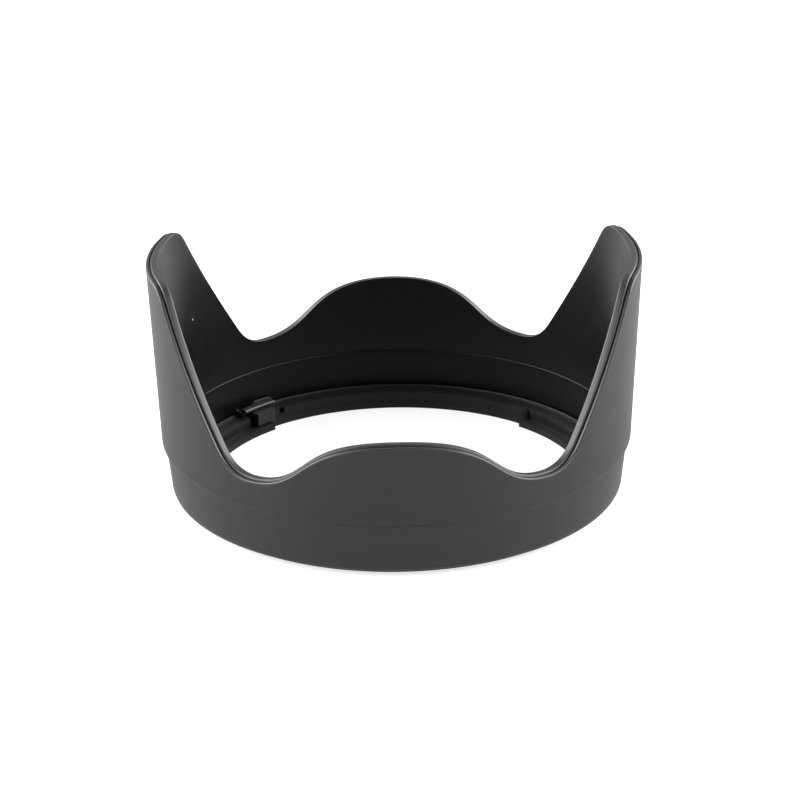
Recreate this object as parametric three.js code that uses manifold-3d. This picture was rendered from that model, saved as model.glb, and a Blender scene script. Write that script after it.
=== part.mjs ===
// Petal lens hood for a bayonet mount, standing on its bayonet ring.
// Millimetres, +Z up along the optical axis. z = 0 is the face that meets the lens.
// Angles are in degrees from +X: the tall petals point to 0 and 180, the short ones to 90 and 270.
import * as THREE from 'three';
import { mergeVertices } from 'three/addons/utils/BufferGeometryUtils.js';
import Module from 'manifold-3d';

const wasm = await Module();
wasm.setup();

// Driving dimensions of the shade
const STEP_RADIUS = 44.5;
const WALL = 2.25;
const FLARE = 0.043;
const STEP_HEIGHT = 10.8;
const TALL_PETAL_HEIGHT = 46.2;
const SHORT_PETAL_HEIGHT = 26.2;
const VALLEY_HEIGHT = 16.6;
const RIM_CHAMFER = 0.6;
const STEP_CHAMFER = 0.25;

// Petal outline, unrolled: corners as angles, and how far each one is rounded along its sides
const TALL_CORNER = 21.5;
const TALL_ROUNDING = 3.3;
const VALLEY_CORNER = 47.2;
const VALLEY_ROUNDING = 4.6;
const VALLEY_HANDLE = 16;
const CREST_HANDLE = 25;
const QUARTER_TURN = 90;
const HALF_TURN = 2 * QUARTER_TURN;
const ARC_PER_DEGREE = STEP_RADIUS * Math.PI / HALF_TURN;
const OUTLINE_STEPS = 29;

// Driving dimensions of the collar
const COLLAR_BOTTOM = 0.85;
const COLLAR_BASE_RADIUS = 42.95;
const COLLAR_TOP_RADIUS = 43.8;
const BORE_BASE_RADIUS = 41.9;
const BORE_TOP_RADIUS = 42.4;
const FOOT_FILLET = 1.5;
const FOOT_STEPS = 4;
const TONGUE_INNER_RADIUS = 43.05;
const TONGUE_OUTER_RADIUS = 43.6;
const TONGUE_HEIGHT = 1.4;

// The collar's inside ledge, which carries the flange of the bayonet ring
const LEDGE_RADIUS = 40.6;
const LEDGE_HEIGHT = 2.3;

// Driving dimensions of the bayonet ring
const FLANGE_RADIUS = 41.6;
const LUG_RADIUS = 35.9;
const MID_WALL_RADIUS = 37.2;
const GROOVE_RADIUS = 38;
const LUG_THICKNESS = 1.3;
const RING_HEIGHT = 3.35;
const GAP = 0.3;
const OVERLAP = 0.5;

// Entry post at one end of each mid wall, and the small notch near its other end
const POST_ANGLE = 46.4;
const POST_RADIUS = 1.25;
const NOTCH_ANGLES = [126.8, 128.6];
const NOTCH_BOTTOM = 2.4;
const NOTCH_DEPTH = 1.1;

// Click arms: one at the far end of the left half of the opening, one opposite
const ARM_ROOT_ANGLE = 141;
const ARM_TIP_ANGLE = 129.3;
const ARM_INNER_RADIUS = 38.2;
const ARM_THICKNESS = 1.4;
const ARM_OUTER_RADIUS = ARM_INNER_RADIUS + ARM_THICKNESS;
const ARM_BOTTOM = 4;
const ARM_TOP = 5.2;
const NOSE_RADIUS = 36.7;
const NOSE_ANGLES = [130.8, 138.1];
const NOSE_TOP = 4.1;

// Room round each click arm, the boss that stops its tip, and the pad its root springs from
const POCKET_ANGLES = [130.3, 139.3];
const LUG_END_ANGLE = 132;
const BOSS_ANGLES = [127, 134.5];
const BOSS_INNER_RADIUS = 40.6;
const BOSS_HEIGHT = 4.7;
const ROOT_PAD_ANGLES = [139.6, 141.4];
const ROOT_PAD_HEIGHT = 4.3;

// Index marks, as width, bottom and top
const INDEX_LINE = [0.7, 13.6, 17];
const INDEX_DOT = [1.3, 18, 19.3];

const LATHE_SEGMENTS = 90;
const ARC_STEP = 4;
const CUT_RADIUS = 20;

const toRadians = THREE.MathUtils.degToRad;
const polar = (radius, angle) => new THREE.Vector2(
  radius * Math.cos(toRadians(angle)),
  radius * Math.sin(toRadians(angle)),
);
const outerRadiusAt = (z) => STEP_RADIUS + FLARE * (z - STEP_HEIGHT);

const plastic = (color, roughness) => new THREE.MeshStandardMaterial({ color, roughness, metalness: 0 });

function named(name, geometry, material) {
  const mesh = new THREE.Mesh(geometry, material);
  mesh.name = name;
  return mesh;
}

// Solids: conversion both ways, and the two ways this part makes them

function toSolid(geometry) {
  const bare = geometry.clone();
  bare.deleteAttribute('normal');
  bare.deleteAttribute('uv');
  const merged = mergeVertices(bare, 1e-4);
  return new wasm.Manifold(new wasm.Mesh({
    numProp: 3,
    vertProperties: Float32Array.from(merged.attributes.position.array),
    triVerts: Uint32Array.from(merged.index.array),
  }));
}

function toGeometry(solid) {
  const mesh = solid.getMesh();
  const geometry = new THREE.BufferGeometry();
  geometry.setAttribute('position', new THREE.BufferAttribute(mesh.vertProperties, 3));
  geometry.setIndex(new THREE.BufferAttribute(mesh.triVerts, 1));
  geometry.computeVertexNormals();
  return geometry;
}

// Turns a closed profile of [radius, z] points, listed anticlockwise, once round the optical axis.
function revolve(profile) {
  const points = [...profile, profile[0]].map(([radius, z]) => new THREE.Vector2(radius, z));
  return new THREE.LatheGeometry(points, LATHE_SEGMENTS).rotateX(Math.PI / 2);
}

// Upright block whose plan is a stretch of a ring.
function ringBlock(innerRadius, outerRadius, fromAngle, toAngle, bottom, top) {
  const plan = new THREE.Shape();
  plan.absarc(0, 0, outerRadius, toRadians(fromAngle), toRadians(toAngle), false);
  plan.absarc(0, 0, innerRadius, toRadians(toAngle), toRadians(fromAngle), true);
  plan.closePath();
  const arcSteps = Math.max(2, Math.ceil((toAngle - fromAngle) / ARC_STEP));
  const block = new THREE.ExtrudeGeometry(plan, {
    depth: top - bottom,
    bevelEnabled: false,
    curveSegments: arcSteps,
  });
  return block.translate(0, 0, bottom);
}

// Petal shade

// A quarter of the top edge as distance round the wall against height.
function petalOutline() {
  const across = (angle) => angle * ARC_PER_DEGREE;
  const run = across(VALLEY_CORNER) - across(TALL_CORNER);
  const drop = TALL_PETAL_HEIGHT - VALLEY_HEIGHT;
  const side = new THREE.Vector2(run, -drop).normalize();
  const tallCorner = new THREE.Vector2(across(TALL_CORNER), TALL_PETAL_HEIGHT);
  const valleyCorner = new THREE.Vector2(across(VALLEY_CORNER), VALLEY_HEIGHT);
  const sideStart = tallCorner.clone().addScaledVector(side, TALL_ROUNDING);
  const sideEnd = valleyCorner.clone().addScaledVector(side, -VALLEY_ROUNDING);
  const valleyEnd = valleyCorner.x + VALLEY_ROUNDING;

  const outline = new THREE.Path();
  outline.moveTo(0, TALL_PETAL_HEIGHT);
  outline.lineTo(tallCorner.x - TALL_ROUNDING, TALL_PETAL_HEIGHT);
  outline.quadraticCurveTo(tallCorner.x, tallCorner.y, sideStart.x, sideStart.y);
  outline.lineTo(sideEnd.x, sideEnd.y);
  outline.quadraticCurveTo(valleyCorner.x, valleyCorner.y, valleyEnd, VALLEY_HEIGHT);
  outline.bezierCurveTo(
    valleyEnd + across(VALLEY_HANDLE), VALLEY_HEIGHT,
    across(QUARTER_TURN - CREST_HANDLE), SHORT_PETAL_HEIGHT,
    across(QUARTER_TURN), SHORT_PETAL_HEIGHT,
  );
  return outline;
}

// Stations all the way round: the angle, the height of the edge there, and how steeply it runs.
function shadeStations() {
  const outline = petalOutline();
  const quarter = [];
  for (let i = 0; i <= OUTLINE_STEPS; i += 1) {
    const point = outline.getPointAt(i / OUTLINE_STEPS);
    const tangent = outline.getTangentAt(i / OUTLINE_STEPS);
    quarter.push({
      angle: point.x / ARC_PER_DEGREE,
      height: point.y,
      chamferDrop: RIM_CHAMFER / Math.abs(tangent.x),
    });
  }
  const half = [...quarter];
  for (const station of quarter.slice(0, -1).reverse()) {
    half.push({ ...station, angle: HALF_TURN - station.angle });
  }
  const lowerHalf = half.slice(1, -1).reverse();
  return [...half, ...lowerHalf.map((station) => ({ ...station, angle: 2 * HALF_TURN - station.angle }))];
}

// The wall's section at one station, as [radius, z] points listed anticlockwise.
function shadeSection({ height, chamferDrop }) {
  const grooveInner = TONGUE_INNER_RADIUS - GAP;
  const grooveOuter = TONGUE_OUTER_RADIUS + GAP;
  const grooveTop = STEP_HEIGHT + TONGUE_HEIGHT;
  const stepBottom = outerRadiusAt(STEP_HEIGHT);
  const rimDepth = Math.min(chamferDrop, 2 * RIM_CHAMFER);
  return [
    [stepBottom - WALL, STEP_HEIGHT],
    [grooveInner, STEP_HEIGHT],
    [grooveInner, grooveTop],
    [grooveOuter, grooveTop],
    [grooveOuter, STEP_HEIGHT],
    [stepBottom - STEP_CHAMFER, STEP_HEIGHT],
    [stepBottom, STEP_HEIGHT + STEP_CHAMFER],
    [outerRadiusAt(height - rimDepth), height - rimDepth],
    [outerRadiusAt(height) - RIM_CHAMFER, height],
    [outerRadiusAt(height) - WALL, height],
  ];
}

function petalShade() {
  const stations = shadeStations();
  const sections = stations.map(shadeSection);
  const pointsPerSection = sections[0].length;
  const positions = [];
  stations.forEach(({ angle }, i) => {
    for (const [radius, z] of sections[i]) {
      const plan = polar(radius, angle);
      positions.push(plan.x, plan.y, z);
    }
  });
  const indices = [];
  for (let i = 0; i < stations.length; i += 1) {
    const next = (i + 1) % stations.length;
    for (let j = 0; j < pointsPerSection; j += 1) {
      const after = (j + 1) % pointsPerSection;
      const here = i * pointsPerSection;
      const there = next * pointsPerSection;
      indices.push(here + j, there + j, there + after);
      indices.push(here + j, there + after, here + after);
    }
  }
  const geometry = new THREE.BufferGeometry();
  geometry.setAttribute('position', new THREE.Float32BufferAttribute(positions, 3));
  geometry.setIndex(indices);
  geometry.computeVertexNormals();
  return geometry;
}

// Mount collar

// The plain band under the shade: rounded foot outside, ledge inside, and a tongue on top.
function mountCollar() {
  const top = STEP_HEIGHT - GAP;
  const foot = [];
  for (let i = 0; i <= FOOT_STEPS; i += 1) {
    const turn = (i / FOOT_STEPS) * Math.PI / 2;
    foot.push([
      COLLAR_BASE_RADIUS - FOOT_FILLET * (1 - Math.sin(turn)),
      COLLAR_BOTTOM + FOOT_FILLET * (1 - Math.cos(turn)),
    ]);
  }
  return revolve([
    [LEDGE_RADIUS, COLLAR_BOTTOM],
    ...foot,
    [COLLAR_TOP_RADIUS, top],
    [TONGUE_OUTER_RADIUS, top],
    [TONGUE_OUTER_RADIUS, top + TONGUE_HEIGHT],
    [TONGUE_INNER_RADIUS, top + TONGUE_HEIGHT],
    [TONGUE_INNER_RADIUS, top],
    [BORE_TOP_RADIUS, top],
    [BORE_BASE_RADIUS, LEDGE_HEIGHT],
    [LEDGE_RADIUS, LEDGE_HEIGHT],
  ]);
}

// Bayonet ring

// One half of the ring's features; the other half is the same, turned by 180 degrees.
function ringHalf() {
  const midWall = toSolid(ringBlock(
    MID_WALL_RADIUS, GROOVE_RADIUS + OVERLAP, POST_ANGLE, LUG_END_ANGLE, 0, RING_HEIGHT,
  ));
  const notch = toSolid(ringBlock(
    CUT_RADIUS, MID_WALL_RADIUS + NOTCH_DEPTH, ...NOTCH_ANGLES, NOTCH_BOTTOM, RING_HEIGHT + 1,
  ));
  const postPlace = polar(MID_WALL_RADIUS + POST_RADIUS, POST_ANGLE);
  const post = new THREE.CylinderGeometry(POST_RADIUS, POST_RADIUS, RING_HEIGHT, 20).rotateX(Math.PI / 2);
  post.translate(postPlace.x, postPlace.y, RING_HEIGHT / 2);
  const lug = ringBlock(
    LUG_RADIUS, GROOVE_RADIUS + OVERLAP, LUG_END_ANGLE, POST_ANGLE + HALF_TURN, 0, LUG_THICKNESS,
  );
  const boss = ringBlock(
    BOSS_INNER_RADIUS, FLANGE_RADIUS, ...BOSS_ANGLES, RING_HEIGHT - OVERLAP, BOSS_HEIGHT,
  );
  const rootPad = ringBlock(
    ARM_OUTER_RADIUS + GAP, FLANGE_RADIUS, ...ROOT_PAD_ANGLES, RING_HEIGHT - OVERLAP, ROOT_PAD_HEIGHT,
  );
  return midWall
    .subtract(notch)
    .add(toSolid(post))
    .add(toSolid(lug))
    .add(toSolid(boss))
    .add(toSolid(rootPad));
}

// Room in the ring for the nose of a click arm, which swings outwards.
function armPocket() {
  return toSolid(ringBlock(
    CUT_RADIUS, BOSS_INNER_RADIUS, ...POCKET_ANGLES, LUG_THICKNESS, ARM_TOP + 1,
  ));
}

// The whole ring: a foot inside the collar's ledge, a flange on top of it, and two equal halves of features.
function bayonetRing() {
  const footRadius = LEDGE_RADIUS - GAP;
  const flangeBottom = LEDGE_HEIGHT + GAP;
  const band = toSolid(revolve([
    [GROOVE_RADIUS, 0],
    [footRadius, 0],
    [footRadius, flangeBottom],
    [FLANGE_RADIUS, flangeBottom],
    [FLANGE_RADIUS, RING_HEIGHT],
    [GROOVE_RADIUS, RING_HEIGHT],
  ]));
  const half = ringHalf();
  const pocket = armPocket();
  const turned = [0, 0, HALF_TURN];
  return toGeometry(band
    .add(half)
    .add(half.rotate(turned))
    .subtract(pocket)
    .subtract(pocket.rotate(turned)));
}

// Click arms

// A springy bar held at its root, with a nose under its free end that clicks behind the lens's own lug.
function clickArm() {
  const bar = toSolid(ringBlock(
    ARM_INNER_RADIUS, ARM_OUTER_RADIUS, ARM_TIP_ANGLE, ARM_ROOT_ANGLE, ARM_BOTTOM, ARM_TOP,
  ));
  const nose = toSolid(ringBlock(
    NOSE_RADIUS, ARM_OUTER_RADIUS, ...NOSE_ANGLES, LUG_THICKNESS + GAP, NOSE_TOP,
  ));
  return toGeometry(bar.add(nose));
}

// Index marks on the outside of the shade

// A thin patch of paint that follows the wall at the middle of the left tall petal.
function indexMark(width, bottom, top) {
  const clearance = 0.04;
  const paint = 0.08;
  const radius = outerRadiusAt(top) + clearance;
  const halfAngle = THREE.MathUtils.radToDeg(width / 2 / radius);
  return ringBlock(radius, radius + paint, HALF_TURN - halfAngle, HALF_TURN + halfAngle, bottom, top);
}

// Assembly

const hood = new THREE.Group();
hood.add(named('petal_shade', petalShade(), plastic(0x1d1e21, 0.55)));
hood.add(named('mount_collar', mountCollar(), plastic(0x1f2023, 0.52)));
hood.add(named('bayonet_ring', bayonetRing(), plastic(0x17181a, 0.6)));
for (const [side, turn] of [['left', 0], ['right', Math.PI]]) {
  const arm = named(`click_arm_${side}`, clickArm(), plastic(0x202124, 0.45));
  arm.rotation.z = turn;
  hood.add(arm);
}
hood.add(named('index_line', indexMark(...INDEX_LINE), plastic(0xd8d8d4, 0.6)));
hood.add(named('index_dot', indexMark(...INDEX_DOT), plastic(0xd8d8d4, 0.6)));

export default hood;
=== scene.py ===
"""Looks of the petal lens hood, built round the CAD frame. Metres, +Z up along the optical axis."""
import math

import bmesh
import bpy
from mathutils import Matrix, Vector


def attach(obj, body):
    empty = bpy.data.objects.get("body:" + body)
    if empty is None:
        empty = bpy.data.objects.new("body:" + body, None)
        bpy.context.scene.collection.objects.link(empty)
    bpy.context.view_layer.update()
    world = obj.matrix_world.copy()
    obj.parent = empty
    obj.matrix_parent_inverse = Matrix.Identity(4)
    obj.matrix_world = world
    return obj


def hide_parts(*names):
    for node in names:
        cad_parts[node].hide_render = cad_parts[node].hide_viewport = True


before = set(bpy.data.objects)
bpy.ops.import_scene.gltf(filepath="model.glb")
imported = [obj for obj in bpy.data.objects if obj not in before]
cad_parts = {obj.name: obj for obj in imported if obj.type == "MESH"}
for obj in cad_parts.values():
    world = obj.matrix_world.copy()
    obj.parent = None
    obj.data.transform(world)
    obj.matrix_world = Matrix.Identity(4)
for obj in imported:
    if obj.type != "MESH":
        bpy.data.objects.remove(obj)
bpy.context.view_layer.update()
scene = bpy.context.scene
MM = 0.001

# Driving dimensions in millimetres, the same as the CAD part's. Angles are in degrees from +X.
STEP_RADIUS = 44.5
FLARE = 0.043
STEP_HEIGHT = 10.8
WALL = 2.25
TALL_PETAL_HEIGHT = 46.2
SHORT_PETAL_HEIGHT = 26.2
VALLEY_HEIGHT = 16.6
TALL_CORNER = 21.5
TALL_ROUNDING = 3.3
VALLEY_CORNER = 47.2
VALLEY_ROUNDING = 4.6
VALLEY_HANDLE = 16.0
CREST_HANDLE = 25.0
ARC_PER_DEGREE = STEP_RADIUS * math.pi / 180

COLLAR_BOTTOM = 0.85
COLLAR_BASE_RADIUS = 42.95
COLLAR_TOP_RADIUS = 43.8
BORE_BASE_RADIUS = 41.9
BORE_TOP_RADIUS = 42.4
FOOT_FILLET = 1.5
LEDGE_RADIUS = 40.6
LEDGE_HEIGHT = 2.3

FLANGE_RADIUS = 41.6
LUG_RADIUS = 35.9
MID_WALL_RADIUS = 37.2
GROOVE_RADIUS = 38.0
LUG_THICKNESS = 1.3
RING_HEIGHT = 3.35
POST_ANGLE = 46.4
POST_RADIUS = 1.25
NOTCH_ANGLES = (126.8, 128.6)
NOTCH_BOTTOM = 2.4
NOTCH_DEPTH = 1.1

ARM_ROOT_ANGLE = 141.0
ARM_TIP_ANGLE = 129.3
ARM_INNER_RADIUS = 38.2
ARM_OUTER_RADIUS = 39.6
ARM_BOTTOM = 4.0
ARM_TOP = 5.2
NOSE_RADIUS = 36.7
NOSE_ANGLES = (130.8, 138.1)
NOSE_BOTTOM = 1.6
NOSE_TOP = 4.1

POCKET_ANGLES = (130.3, 139.3)
LUG_END_ANGLE = 132.0
BOSS_ANGLES = (128.2, 133.4)
BOSS_INNER_RADIUS = 40.6
BOSS_HEIGHT = 4.7
PAD_ANGLES = (139.7, 140.4)
PAD_HEIGHT = 4.3

# Index marks as (name, width, bottom, top, round ends)
INDEX_MARKS = (
    ("index_line", 0.7, 13.6, 17.0, False),
    ("index_dot", 1.3, 18.0, 19.3, True),
)


def outer_radius(z):
    return STEP_RADIUS + FLARE * (z - STEP_HEIGHT)


def place(angle, radius, z):
    turn = math.radians(angle)
    return Vector((radius * math.cos(turn), radius * math.sin(turn), z)) * MM


def smooth(value, low, high):
    """0 below low, 1 above high, and an even S between them."""
    t = min(1.0, max(0.0, (value - low) / (high - low)))
    return t * t * (3 - 2 * t)


def window(angle, start, end, ramp):
    """1 between start and end, falling to 0 within ramp degrees outside them."""
    return smooth(angle, start - ramp, start) * (1 - smooth(angle, end, end + ramp))


def mix(a, b, t):
    return a + (b - a) * t


def arc(centre, radius, start, end, steps):
    """Points on a circle from start to end degrees, in the plane of the section."""
    turns = [math.radians(mix(start, end, i / steps)) for i in range(steps + 1)]
    return [(centre[0] + radius * math.cos(t), centre[1] + radius * math.sin(t)) for t in turns]


# Meshes

def closed_sweep(name, sections, wear_and_highlight=None):
    """A closed tube through a ring of sections, each a closed list of points with the same count."""
    count = len(sections[0])
    vertices = [point for section in sections for point in section]
    faces = []
    for i in range(len(sections)):
        here = i * count
        there = (i + 1) % len(sections) * count
        for j in range(count):
            after = (j + 1) % count
            faces.append((here + j, there + j, there + after, here + after))
    mesh = bpy.data.meshes.new(name)
    mesh.from_pydata(vertices, [], faces)
    # Per-point weights for paler rubbed edges, partly real wear and partly a painted highlight.
    if wear_and_highlight is not None:
        attribute = mesh.attributes.new("wear_and_highlight", "FLOAT", "POINT")
        attribute.data.foreach_set("value", [value for _ in sections for value in wear_and_highlight])
    return finish_mesh(name, mesh)


def finish_mesh(name, mesh, sharp_angle=40):
    tidy = bmesh.new()
    tidy.from_mesh(mesh)
    bmesh.ops.remove_doubles(tidy, verts=tidy.verts, dist=1e-7)
    bmesh.ops.recalc_face_normals(tidy, faces=tidy.faces)
    tidy.to_mesh(mesh)
    tidy.free()
    mesh.shade_smooth()
    mesh.set_sharp_from_angle(angle=math.radians(sharp_angle))
    piece = bpy.data.objects.new(name, mesh)
    scene.collection.objects.link(piece)
    return piece


# Petal shade

def quadratic(p0, p1, p2, steps):
    ts = [i / steps for i in range(steps)]
    return [p0 * (1 - t) ** 2 + p1 * 2 * t * (1 - t) + p2 * t * t for t in ts]


def cubic(p0, p1, p2, p3, steps):
    ts = [i / steps for i in range(steps + 1)]
    return [
        p0 * (1 - t) ** 3 + p1 * 3 * t * (1 - t) ** 2 + p2 * 3 * t * t * (1 - t) + p3 * t ** 3
        for t in ts
    ]


def petal_quarter():
    """A quarter of the top edge, unrolled: distance round the wall against height."""
    across = lambda angle: angle * ARC_PER_DEGREE
    tall = Vector((across(TALL_CORNER), TALL_PETAL_HEIGHT))
    valley = Vector((across(VALLEY_CORNER), VALLEY_HEIGHT))
    side = (valley - tall).normalized()
    start = Vector((0, TALL_PETAL_HEIGHT))
    tall_in = tall - Vector((TALL_ROUNDING, 0))
    tall_out = tall + side * TALL_ROUNDING
    valley_in = valley - side * VALLEY_ROUNDING
    valley_out = valley + Vector((VALLEY_ROUNDING, 0))
    crest = Vector((across(90), SHORT_PETAL_HEIGHT))
    steps = 60
    line = lambda a, b: [a.lerp(b, i / steps) for i in range(steps)]
    return (
        line(start, tall_in)
        + quadratic(tall_in, tall, tall_out, steps)
        + line(tall_out, valley_in)
        + quadratic(valley_in, valley, valley_out, steps)
        + cubic(
            valley_out,
            valley_out + Vector((across(VALLEY_HANDLE), 0)),
            crest - Vector((across(CREST_HANDLE), 0)),
            crest,
            2 * steps,
        )
    )


def resample(points, count):
    """The same line as count + 1 evenly spaced points."""
    lengths = [0.0]
    for a, b in zip(points, points[1:]):
        lengths.append(lengths[-1] + (b - a).length)
    result = []
    k = 0
    for i in range(count + 1):
        target = lengths[-1] * i / count
        while k < len(points) - 2 and lengths[k + 1] < target:
            k += 1
        t = (target - lengths[k]) / (lengths[k + 1] - lengths[k])
        result.append(points[k].lerp(points[k + 1], t))
    return result


def petal_loop(per_quarter=110):
    """The whole top edge as (point, normal) pairs; the normal points up out of the wall."""
    quarter = resample(petal_quarter(), per_quarter)
    full_turn = 360 * ARC_PER_DEGREE
    half = quarter + [Vector((full_turn / 2 - p.x, p.y)) for p in reversed(quarter[:-1])]
    loop = half + [Vector((full_turn - p.x, p.y)) for p in reversed(half[1:-1])]
    pairs = []
    for i, point in enumerate(loop):
        before = loop[i - 1] - Vector((full_turn if i == 0 else 0, 0))
        after = loop[(i + 1) % len(loop)] + Vector((full_turn if i == len(loop) - 1 else 0, 0))
        tangent = (after - before).normalized()
        pairs.append((point, Vector((-tangent.y, tangent.x))))
    return pairs


RIM_LAND = 1.2        # flat inner part of the rim
RIM_STEP = 0.32       # how far the outer ledge lies below it
RIM_DEPTH = 1.6       # where the rim's shape ends and the plain wall begins
SEAM_TAPER = 0.13     # how far the inside wall opens out just above the collar

# The overhanging lower edge of the shade, as (inset, lift) points: a steep chamfer with soft corners
STEP_EDGE = ((0.2, 0.0), (0.14, 0.04), (0.03, 0.3), (0.01, 0.38), (0.0, 0.5))


def rim_profile():
    """The rim's section from outside to inside, as (inset from the outer face, depth, wear and painted
    highlight) points.
    """
    start_depth = 1.0
    outer_round = 0.3
    inner_round = 0.16
    groove = RIM_STEP + 0.3
    land_start = WALL - RIM_LAND
    ledge_end = land_start - 0.12
    outside = [
        (outer_round + x, RIM_STEP + outer_round - y, 0.8)
        for x, y in arc((0, 0), outer_round, 180, 90, 5)
    ]
    ledge = [
        (ledge_end - 0.34, RIM_STEP, 0.5), (ledge_end - 0.2, groove, 0.0),
        (ledge_end - 0.02, groove, 0.0), (ledge_end + 0.05, 0.12, 0.3),
    ]
    # Painted highlight: the flat land and the rounded edges are painted paler where they catch the light.
    land = [(land_start + 0.02, 0.02, 1.0), (land_start + 0.12, 0.0, 0.8), (WALL - 0.3, 0.0, 0.6)]
    inside = [
        (WALL - inner_round + x, inner_round - y, 1.0)
        for x, y in arc((0, 0), inner_round, 90, 0, 4)
    ]
    return [(0.0, start_depth, 0.0), *outside, *ledge, *land, *inside, (WALL, start_depth, 0.0)]


def shade_sections():
    """Sections of the wall all the way round, and the wear and painted highlight weights of the points in
    each.
    """
    rim = rim_profile()
    rows = 14
    bottom_outer = outer_radius(STEP_HEIGHT)
    bottom_inner = bottom_outer - WALL + SEAM_TAPER
    sections = []
    for point, normal in petal_loop():
        base = point - normal * RIM_DEPTH
        section = []
        for i in range(rows):
            t = i / rows
            spot = Vector((mix(point.x, base.x, t), mix(STEP_HEIGHT + 0.6, base.y, t)))
            section.append(place(spot.x / ARC_PER_DEGREE, outer_radius(spot.y), spot.y))
        for inset, depth, _ in rim:
            spot = point - normal * depth
            section.append(place(spot.x / ARC_PER_DEGREE, outer_radius(spot.y) - inset, spot.y))
        for i in range(rows):
            t = 1 - i / rows
            spot = Vector((mix(point.x, base.x, t), mix(STEP_HEIGHT + 0.2, base.y, t)))
            taper = SEAM_TAPER * (1 - smooth(spot.y, STEP_HEIGHT, STEP_HEIGHT + 3))
            section.append(place(spot.x / ARC_PER_DEGREE, outer_radius(spot.y) - WALL + taper, spot.y))
        angle = point.x / ARC_PER_DEGREE
        section.append(place(angle, bottom_inner, STEP_HEIGHT + 0.04))
        section.append(place(angle, bottom_inner + 0.1, STEP_HEIGHT))
        section.append(place(angle, bottom_outer - 0.5, STEP_HEIGHT))
        for inset, lift in STEP_EDGE:
            section.append(place(angle, bottom_outer - inset, STEP_HEIGHT + lift))
        sections.append(section)
    # Painted highlight: the overhanging step edge is painted paler, where its chamfer catches light from
    # the floor.
    wear_and_highlight = [0.0] * rows + [w for _, _, w in rim] + [0.0] * rows + [0.0] * 3 + [0.5] * len(STEP_EDGE)
    return sections, wear_and_highlight


def make_shade():
    sections, wear_and_highlight = shade_sections()
    return closed_sweep("petal_shade_fine", sections, wear_and_highlight)


# Mount collar

def revolve(name, profile, wear_and_highlight=None, segments=360):
    sections = []
    for i in range(segments):
        angle = 360 * i / segments
        sections.append([place(angle, radius, z) for radius, z in profile])
    return closed_sweep(name, sections, wear_and_highlight)


def make_collar():
    """The band below the step: rounded foot, inside ledge, and a top tucked under the shade."""
    top = STEP_HEIGHT - 0.06
    fillet_top = COLLAR_BOTTOM + FOOT_FILLET
    foot = arc((COLLAR_BASE_RADIUS - FOOT_FILLET, fillet_top), FOOT_FILLET, -90, 0, 8)
    wall = [
        (mix(COLLAR_BASE_RADIUS, COLLAR_TOP_RADIUS, i / 6), mix(fillet_top, top - 0.3, i / 6))
        for i in range(1, 7)
    ]
    rim = [(COLLAR_TOP_RADIUS - 0.04, top - 0.1), (COLLAR_TOP_RADIUS - 0.14, top)]
    seam = 0.22
    inside = arc((BORE_TOP_RADIUS + seam, top - seam), seam, 90, 180, 4)
    bore = [
        (mix(BORE_TOP_RADIUS, BORE_BASE_RADIUS, i / 6), mix(top - seam, LEDGE_HEIGHT, i / 6))
        for i in range(1, 7)
    ]
    ledge = [(LEDGE_RADIUS, LEDGE_HEIGHT), (LEDGE_RADIUS, COLLAR_BOTTOM)]
    profile = foot + wall + rim + inside + bore + ledge
    # Paler foot and top edge: partly real wear, partly a painted reflection of the floor on these rounded
    # edges.
    wear_and_highlight = ([0.6] * len(foot) + [0.0] * len(wall) + [0.3] * len(rim) + [0.0] * len(inside)
            + [0.0] * (len(bore) + len(ledge)))
    return revolve("mount_collar_fine", profile, wear_and_highlight)


# Bayonet ring

EDGE_RAMP = 0.22
SEAT_GAP = 0.1        # between the ring and the collar's ledge
BEAD = 0.24           # radius of the fine bead round the flange's outer edge


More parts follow.
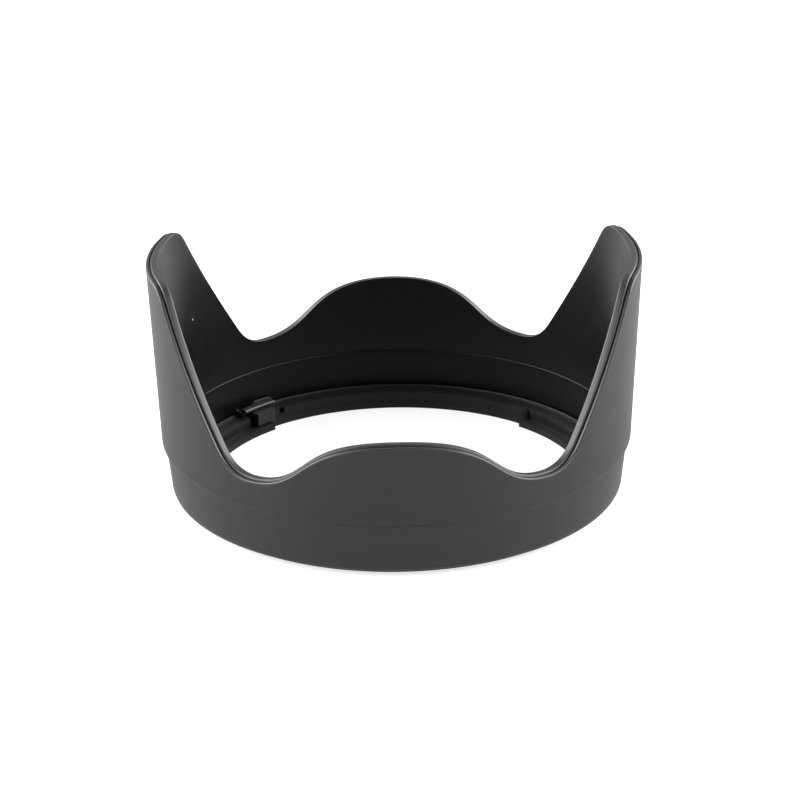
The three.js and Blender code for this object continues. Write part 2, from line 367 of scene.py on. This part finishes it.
def ring_section(angle):
    """The ring's section at one angle, as (radius, z, wear and painted highlight) points: lug and groove
    or plain mid wall.
    """
    half_angle = angle % 180
    lug = 1 - window(half_angle, POST_ANGLE, LUG_END_ANGLE, EDGE_RAMP)
    pocket = window(half_angle, *POCKET_ANGLES, EDGE_RAMP)
    boss = window(half_angle, *BOSS_ANGLES, 2.0)
    pad = window(half_angle, *PAD_ANGLES, EDGE_RAMP)
    notch = NOTCH_DEPTH * window(half_angle, *NOTCH_ANGLES, 0.12)

    from_post = math.radians(half_angle - POST_ANGLE) * (MID_WALL_RADIUS + POST_RADIUS)
    post = math.sqrt(max(0.0, 1 - (from_post / POST_RADIUS) ** 2))
    post_radius = MID_WALL_RADIUS + POST_RADIUS * (1 - post)

    inner = mix(MID_WALL_RADIUS, LUG_RADIUS, lug)
    above_lug = mix(inner, GROOVE_RADIUS, lug)
    if post > 0:
        inner = min(inner, post_radius)
        above_lug = min(above_lug, post_radius)
    boss_inner = mix(BOSS_INNER_RADIUS, ARM_OUTER_RADIUS + 0.2, pad)
    above_lug = mix(above_lug, BOSS_INNER_RADIUS - 0.3, pocket)
    top_edge = above_lug + notch
    boss_top = RING_HEIGHT + max((BOSS_HEIGHT - RING_HEIGHT) * boss, (PAD_HEIGHT - RING_HEIGHT) * pad)
    edge = 0.12
    foot = LEDGE_RADIUS - SEAT_GAP
    flange_bottom = LEDGE_HEIGHT + SEAT_GAP
    shelf_end = max(boss_inner - 0.02, top_edge + edge + 0.02)
    points = [
        (foot, edge, 0.0), (foot - edge, 0.0, 0.3), (mix(foot, inner, 0.5), 0.0, 0.0),
        (inner + edge, 0.0, 0.3), (inner + 0.03, 0.03, 1.0), (inner, edge, 1.0),
        (inner, LUG_THICKNESS - edge, 1.0), (inner + 0.03, LUG_THICKNESS - 0.03, 1.0),
        (min(inner + edge, above_lug), LUG_THICKNESS, 0.5),
        (mix(inner, above_lug, 0.9), LUG_THICKNESS, 0.0),
        (above_lug, LUG_THICKNESS + 0.1, 0.0), (above_lug, NOTCH_BOTTOM - 0.02, 0.1),
        (top_edge, NOTCH_BOTTOM + 0.02, 0.1), (top_edge, RING_HEIGHT - edge, 0.7),
        (top_edge + 0.04, RING_HEIGHT - 0.03, 1.0), (top_edge + edge, RING_HEIGHT, 0.5),
        (mix(top_edge + edge, shelf_end, 0.6), RING_HEIGHT, 0.0), (shelf_end, RING_HEIGHT, 0.0),
        (shelf_end + 0.02, mix(RING_HEIGHT, boss_top - 0.2, 0.97), 0.2),
        (shelf_end + 0.1, mix(RING_HEIGHT, boss_top - 0.06, 0.99), 0.8),
        (shelf_end + 0.24, boss_top, 0.5),
    ]
    # Painted highlight: the bead round the flange's outer edge is painted fully pale, where it catches
    # the light.
    bead_centre = (FLANGE_RADIUS - BEAD, boss_top)
    points += [(r, z, 1.0) for r, z in arc(bead_centre, BEAD, 180, 0, 6)]
    return points + [(FLANGE_RADIUS, flange_bottom, 0.0), (foot, flange_bottom, 0.0)]


def ring_angles():
    """Even stations, with close ones at every edge where the section changes."""
    angles = {round(i * 0.75, 3) for i in range(480)}
    for edge in (POST_ANGLE, LUG_END_ANGLE, *NOTCH_ANGLES, *POCKET_ANGLES, *PAD_ANGLES):
        for i in range(-8, 9):
            angles.add(round((edge + i * EDGE_RAMP / 4) % 360, 3))
            angles.add(round((edge + 180 + i * EDGE_RAMP / 4) % 360, 3))
    for i in range(-20, 21):
        turn = math.degrees(POST_RADIUS / (MID_WALL_RADIUS + POST_RADIUS)) * i / 20
        angles.add(round(POST_ANGLE + turn, 3))
        angles.add(round(POST_ANGLE + 180 + turn, 3))
    return sorted(angles)


def make_ring():
    """The whole ring as one tube of sections, since every section has the same count of points."""
    angles = ring_angles()
    sections = [[place(angle, r, z) for r, z, _ in ring_section(angle)] for angle in angles]
    wear_and_highlight = [value for _, _, value in ring_section(angles[0])]
    return closed_sweep("bayonet_ring_fine", sections, wear_and_highlight)


# Click arms

def curved_block(profile, start, end, steps=16):
    """A closed block that follows the ring with a given section, as a bmesh."""
    block = bmesh.new()
    rows = []
    for i in range(steps + 1):
        angle = mix(start, end, i / steps)
        rows.append([block.verts.new(place(angle, r, z)) for r, z in profile])
    count = len(profile)
    for a, b in zip(rows, rows[1:]):
        for j in range(count):
            block.faces.new((a[j], b[j], b[(j + 1) % count], a[(j + 1) % count]))
    block.faces.new(rows[0])
    block.faces.new(list(reversed(rows[-1])))
    bmesh.ops.recalc_face_normals(block, faces=block.faces)
    return block


def to_object(name, block):
    mesh = bpy.data.meshes.new(name)
    block.to_mesh(mesh)
    block.free()
    piece = bpy.data.objects.new(name, mesh)
    scene.collection.objects.link(piece)
    return piece


def apply_modifiers(piece):
    depsgraph = bpy.context.evaluated_depsgraph_get()
    mesh = bpy.data.meshes.new_from_object(piece.evaluated_get(depsgraph))
    piece.modifiers.clear()
    piece.data = mesh


def make_arm(name, turn):
    """A thin springy ledge over a set-back web, with a nose under its free end, as one moulding."""
    crown = 0.5
    lip_bottom = ARM_TOP - 0.62
    web_radius = ARM_INNER_RADIUS + 0.75
    rounded = arc((ARM_INNER_RADIUS + crown, ARM_TOP - crown), crown, 90, 180, 6)
    bar_section = [
        (ARM_INNER_RADIUS, lip_bottom), (web_radius, lip_bottom), (web_radius, ARM_BOTTOM),
        (ARM_OUTER_RADIUS, ARM_BOTTOM), (ARM_OUTER_RADIUS, ARM_TOP)]
    nose_outer = ARM_OUTER_RADIUS - 0.05
    nose_section = [
        (NOSE_RADIUS, NOSE_BOTTOM), (nose_outer, NOSE_BOTTOM),
        (nose_outer, NOSE_TOP + 0.2), (NOSE_RADIUS, NOSE_TOP)]
    bar = to_object(name, curved_block(bar_section + rounded, ARM_TIP_ANGLE, ARM_ROOT_ANGLE))
    nose = to_object(name + "_nose", curved_block(nose_section, *NOSE_ANGLES))
    join = bar.modifiers.new("join", "BOOLEAN")
    join.operation = "UNION"
    join.solver = "EXACT"
    join.object = nose
    bevel = bar.modifiers.new("bevel", "BEVEL")
    bevel.width = 0.14 * MM
    bevel.segments = 3
    bevel.limit_method = "ANGLE"
    bevel.angle_limit = math.radians(40)
    bpy.context.view_layer.update()
    apply_modifiers(bar)
    bpy.data.objects.remove(nose)
    bar.data.transform(Matrix.Rotation(turn, 4, "Z"))
    bar.data.shade_smooth()
    bar.data.set_sharp_from_angle(angle=math.radians(40))
    return bar


# Index marks

def make_mark(name, width, bottom, top, round_ends):
    """A thin printed patch on the outside of the left tall petal, on the wall's own curve."""
    steps_per_corner = 6
    centre = (bottom + top) / 2
    half_height = (top - bottom) / 2
    corner = width / 2 if round_ends else 0.12
    outline = []
    for cx, cy, start in ((1, 1, 0), (-1, 1, 90), (-1, -1, 180), (1, -1, 270)):
        corner_centre = (cx * (width / 2 - corner), cy * (half_height - corner))
        for x, y in arc(corner_centre, corner, start, start + 90, steps_per_corner):
            outline.append((x, centre + y))
    patch = bmesh.new()
    layers = []
    for lift in (0.012, 0.045):
        layer = []
        for x, z in outline:
            radius = outer_radius(z) + lift
            layer.append(patch.verts.new(place(180 - math.degrees(x / radius), radius, z)))
        layers.append(layer)
    count = len(outline)
    for i in range(count):
        after = (i + 1) % count
        patch.faces.new((layers[0][i], layers[0][after], layers[1][after], layers[1][i]))
    patch.faces.new(layers[1])
    patch.faces.new(list(reversed(layers[0])))
    bmesh.ops.remove_doubles(patch, verts=patch.verts, dist=1e-7)
    bmesh.ops.recalc_face_normals(patch, faces=patch.faces)
    return to_object(name, patch)


# Materials

def node(tree, kind, **values):
    made = tree.nodes.new(kind)
    for key, value in values.items():
        if hasattr(made, key) and key not in made.inputs:
            setattr(made, key, value)
        else:
            made.inputs[key].default_value = value
    return made


def moulded_plastic(name, colour, roughness, specular=0.5, grain=0.012, dust=0.0, polish=0.12):
    """Black moulded plastic: spark-eroded grain, faint mottling, and edges rubbed smoother and paler,
    where the paler colour is partly real wear and partly a painted highlight.
    """
    material = bpy.data.materials.new(name)
    material.use_nodes = True
    tree = material.node_tree
    shader = tree.nodes["Principled BSDF"]
    shader.inputs["Metallic"].default_value = 0.0
    shader.inputs["Specular IOR Level"].default_value = specular
    where = node(tree, "ShaderNodeTexCoord")

    mottle = node(tree, "ShaderNodeTexNoise", Scale=220.0, Detail=4.0, Roughness=0.6)
    tree.links.new(where.outputs["Object"], mottle.inputs["Vector"])
    base = node(tree, "ShaderNodeMix", data_type="RGBA")
    base.inputs["A"].default_value = (*[c * 0.82 for c in colour], 1)
    base.inputs["B"].default_value = (*[c * 1.22 for c in colour], 1)
    tree.links.new(mottle.outputs["Fac"], base.inputs["Factor"])

    # Paler, smoother edges from the per-point weights: partly real wear, partly a painted highlight on
    # edges that catch the light.
    wear_and_highlight = node(tree, "ShaderNodeAttribute", attribute_name="wear_and_highlight")
    scuff = node(tree, "ShaderNodeTexNoise", Scale=900.0, Detail=3.0, Roughness=0.7)
    tree.links.new(where.outputs["Object"], scuff.inputs["Vector"])
    worn_and_highlit = node(tree, "ShaderNodeMath", operation="MULTIPLY")
    tree.links.new(wear_and_highlight.outputs["Fac"], worn_and_highlit.inputs[0])
    tree.links.new(scuff.outputs["Fac"], worn_and_highlit.inputs[1])
    # Wear and painted highlight: those edges get a colour 1.9 times paler.
    rubbed_and_highlit = node(tree, "ShaderNodeMix", data_type="RGBA")
    rubbed_and_highlit.inputs["B"].default_value = (*[c * 1.9 for c in colour], 1)
    tree.links.new(worn_and_highlit.outputs["Value"], rubbed_and_highlit.inputs["Factor"])
    tree.links.new(base.outputs["Result"], rubbed_and_highlit.inputs["A"])
    colour_out = rubbed_and_highlit.outputs["Result"]

    if dust > 0:
        specks = node(tree, "ShaderNodeTexVoronoi", Scale=95.0, Randomness=1.0)
        tree.links.new(where.outputs["Object"], specks.inputs["Vector"])
        near = node(tree, "ShaderNodeMath", operation="LESS_THAN")
        near.inputs[1].default_value = dust
        tree.links.new(specks.outputs["Distance"], near.inputs[0])
        dusty = node(tree, "ShaderNodeMix", data_type="RGBA")
        dusty.inputs["B"].default_value = (0.35, 0.35, 0.34, 1)
        tree.links.new(near.outputs["Value"], dusty.inputs["Factor"])
        tree.links.new(colour_out, dusty.inputs["A"])
        colour_out = dusty.outputs["Result"]
    tree.links.new(colour_out, shader.inputs["Base Color"])

    gloss = node(tree, "ShaderNodeMapRange")
    gloss.inputs["To Min"].default_value = roughness - 0.05
    gloss.inputs["To Max"].default_value = roughness + 0.05
    tree.links.new(mottle.outputs["Fac"], gloss.inputs["Value"])
    smoother = node(tree, "ShaderNodeMath", operation="MULTIPLY_ADD")
    smoother.inputs[1].default_value = -polish
    tree.links.new(worn_and_highlit.outputs["Value"], smoother.inputs[0])
    tree.links.new(gloss.outputs["Result"], smoother.inputs[2])
    tree.links.new(smoother.outputs["Value"], shader.inputs["Roughness"])

    pits = node(tree, "ShaderNodeTexNoise", Scale=5200.0, Detail=2.0, Roughness=0.55)
    tree.links.new(where.outputs["Object"], pits.inputs["Vector"])
    waves = node(tree, "ShaderNodeTexNoise", Scale=60.0, Detail=1.0)
    tree.links.new(where.outputs["Object"], waves.inputs["Vector"])
    fine = node(tree, "ShaderNodeBump", Strength=0.55, Distance=grain * MM)
    tree.links.new(pits.outputs["Fac"], fine.inputs["Height"])
    broad = node(tree, "ShaderNodeBump", Strength=0.25, Distance=0.05 * MM)
    tree.links.new(waves.outputs["Fac"], broad.inputs["Height"])
    tree.links.new(fine.outputs["Normal"], broad.inputs["Normal"])
    tree.links.new(broad.outputs["Normal"], shader.inputs["Normal"])
    return material


def printed_paint():
    """Off-white pad print, slightly uneven and chalky."""
    material = bpy.data.materials.new("printed_paint")
    material.use_nodes = True
    tree = material.node_tree
    shader = tree.nodes["Principled BSDF"]
    where = node(tree, "ShaderNodeTexCoord")
    cover = node(tree, "ShaderNodeTexNoise", Scale=2500.0, Detail=3.0)
    tree.links.new(where.outputs["Object"], cover.inputs["Vector"])
    shade = node(tree, "ShaderNodeMix", data_type="RGBA")
    shade.inputs["A"].default_value = (0.5, 0.5, 0.48, 1)
    shade.inputs["B"].default_value = (0.8, 0.8, 0.77, 1)
    tree.links.new(cover.outputs["Fac"], shade.inputs["Factor"])
    tree.links.new(shade.outputs["Result"], shader.inputs["Base Color"])
    shader.inputs["Roughness"].default_value = 0.6
    bump = node(tree, "ShaderNodeBump", Strength=0.4, Distance=0.008 * MM)
    tree.links.new(cover.outputs["Fac"], bump.inputs["Height"])
    tree.links.new(bump.outputs["Normal"], shader.inputs["Normal"])
    return material


def line_inside(piece, outside, inside):
    """One plastic all over, and another on the faces that look towards the optical axis."""
    piece.data.materials.append(outside)
    piece.data.materials.append(inside)
    for face in piece.data.polygons:
        outward = Vector((face.center.x, face.center.y, 0)).normalized()
        face.material_index = 1 if face.normal.dot(outward) < -0.8 else 0


# Stage

def make_camera():
    """The view from the front, a little above and turned a hair, on a long lens."""
    azimuth = math.radians(-0.622)
    elevation = math.radians(21.976)
    roll = math.radians(-0.785)
    distance = 506.4
    target = Vector((0.756, 0, 16.71))
    back = Vector((
        math.sin(azimuth) * math.cos(elevation),
        -math.cos(azimuth) * math.cos(elevation),
        math.sin(elevation),
    ))
    right = (-back).cross(Vector((0, 0, 1))).normalized()
    up = right.cross(-back)
    rolled_right = right * math.cos(roll) + up * math.sin(roll)
    rolled_up = -right * math.sin(roll) + up * math.cos(roll)
    camera = bpy.data.objects.new("camera", bpy.data.cameras.new("camera"))
    camera.data.lens = 120.07
    camera.data.sensor_width = 36
    camera.data.clip_start = 0.01
    turn = Matrix((rolled_right, rolled_up, back)).transposed()
    camera.matrix_world = Matrix.Translation((target + back * distance) * MM) @ turn.to_4x4()
    scene.collection.objects.link(camera)
    scene.camera = camera


def glowing_paper(tree, grey, glow):
    """Matt paper that is also lit from below."""
    paper = node(tree, "ShaderNodeBsdfDiffuse", Color=(grey, grey, grey, 1))
    lit_from_below = node(tree, "ShaderNodeEmission", Color=(1, 1, 1, 1), Strength=glow)
    both = node(tree, "ShaderNodeAddShader")
    tree.links.new(paper.outputs[0], both.inputs[0])
    tree.links.new(lit_from_below.outputs[0], both.inputs[1])
    return both


def make_floor():
    """A white floor, dimmer for the light it throws on the hood than for the camera."""
    mesh = bpy.data.meshes.new("floor")
    size = 3.0
    corners = [(-size, -size, 0), (size, -size, 0), (size, size, 0), (-size, size, 0)]
    mesh.from_pydata([Vector(c) for c in corners], [], [(0, 1, 2, 3)])
    floor = bpy.data.objects.new("floor", mesh)
    floor.location.z = -0.02 * MM
    scene.collection.objects.link(floor)
    material = bpy.data.materials.new("pale_floor")
    material.use_nodes = True
    tree = material.node_tree
    tree.nodes.remove(tree.nodes["Principled BSDF"])
    output = tree.nodes["Material Output"]
    surface = glowing_paper(tree, 0.25, 0.32)
    seen = glowing_paper(tree, 0.5, 0.66)
    path = node(tree, "ShaderNodeLightPath")
    choose = node(tree, "ShaderNodeMixShader")
    tree.links.new(path.outputs["Is Camera Ray"], choose.inputs["Fac"])
    tree.links.new(surface.outputs[0], choose.inputs[1])
    tree.links.new(seen.outputs[0], choose.inputs[2])
    tree.links.new(choose.outputs[0], output.inputs["Surface"])
    mesh.materials.append(material)


def ramp(tree, source, between, strengths):
    """A node that eases from one strength to the other as the source goes from one value to the other."""
    made = node(tree, "ShaderNodeMapRange", interpolation_type="SMOOTHSTEP")
    made.inputs["From Min"].default_value = between[0]
    made.inputs["From Max"].default_value = between[1]
    made.inputs["To Min"].default_value = strengths[0]
    made.inputs["To Max"].default_value = strengths[1]
    tree.links.new(source, made.inputs["Value"])
    return made


def make_world():
    """A white studio: bright at both sides, dimmer overhead, behind the camera and beyond the hood."""
    world = bpy.data.worlds.new("studio")
    world.use_nodes = True
    scene.world = world
    tree = world.node_tree
    background = tree.nodes["Background"]
    where = node(tree, "ShaderNodeTexCoord")
    parts = node(tree, "ShaderNodeSeparateXYZ")
    tree.links.new(where.outputs["Generated"], parts.inputs[0])
    sideways = node(tree, "ShaderNodeMath", operation="ABSOLUTE")
    tree.links.new(parts.outputs["X"], sideways.inputs[0])

    overhead = ramp(tree, parts.outputs["Z"], (0.6, 1.0), (1.0, 0.25))
    behind = ramp(tree, parts.outputs["Y"], (-1.0, 0.1), (0.2, 1.0))
    beyond = ramp(tree, parts.outputs["Y"], (0.55, 1.0), (1.0, 0.5))
    sides = ramp(tree, sideways.outputs["Value"], (0.35, 0.85), (1.0, 9.5))
    total = sides.outputs["Result"]
    for factor in (overhead, behind, beyond):
        product = node(tree, "ShaderNodeMath", operation="MULTIPLY")
        tree.links.new(total, product.inputs[0])
        tree.links.new(factor.outputs["Result"], product.inputs[1])
        total = product.outputs["Value"]
    tree.links.new(total, background.inputs["Strength"])
    background.inputs["Color"].default_value = (1.0, 1.0, 1.0, 1)


make_camera()
make_floor()
make_world()
scene.view_settings.view_transform = "Standard"

outer_plastic = moulded_plastic("outer_plastic", (0.0123, 0.0121, 0.0142), 0.42)
inner_plastic = moulded_plastic(
    "inner_plastic", (0.0036, 0.0035, 0.004), 0.32, specular=0.2, grain=0.02, dust=0.026)
collar_plastic = moulded_plastic("collar_plastic", (0.014, 0.0145, 0.016), 0.4)
ring_plastic = moulded_plastic("ring_plastic", (0.0095, 0.0094, 0.0104), 0.5, specular=0.25)
arm_plastic = moulded_plastic("arm_plastic", (0.015, 0.0155, 0.0165), 0.38)
paint = printed_paint()

shade = make_shade()
line_inside(shade, outer_plastic, inner_plastic)
collar = make_collar()
line_inside(collar, collar_plastic, inner_plastic)
ring = make_ring()
ring.data.materials.append(ring_plastic)

for piece, cad_node, slot in (
    (shade, "petal_shade", "shade_plastic"),
    (collar, "mount_collar", "collar_plastic"),
    (ring, "bayonet_ring", "ring_plastic"),
):
    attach(piece, "hood")
    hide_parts(cad_node)

for side, turn in (("left", 0.0), ("right", math.pi)):
    arm = make_arm(f"click_arm_{side}_fine", turn)
    arm.data.materials.clear()
    arm.data.materials.append(arm_plastic)
    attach(arm, f"click_arm_{side}")
    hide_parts(f"click_arm_{side}")

for mark_name, width, bottom, top, round_ends in INDEX_MARKS:
    mark = make_mark(mark_name + "_print", width, bottom, top, round_ends)
    mark.data.materials.append(paint)
    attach(mark, "hood")
    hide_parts(mark_name)
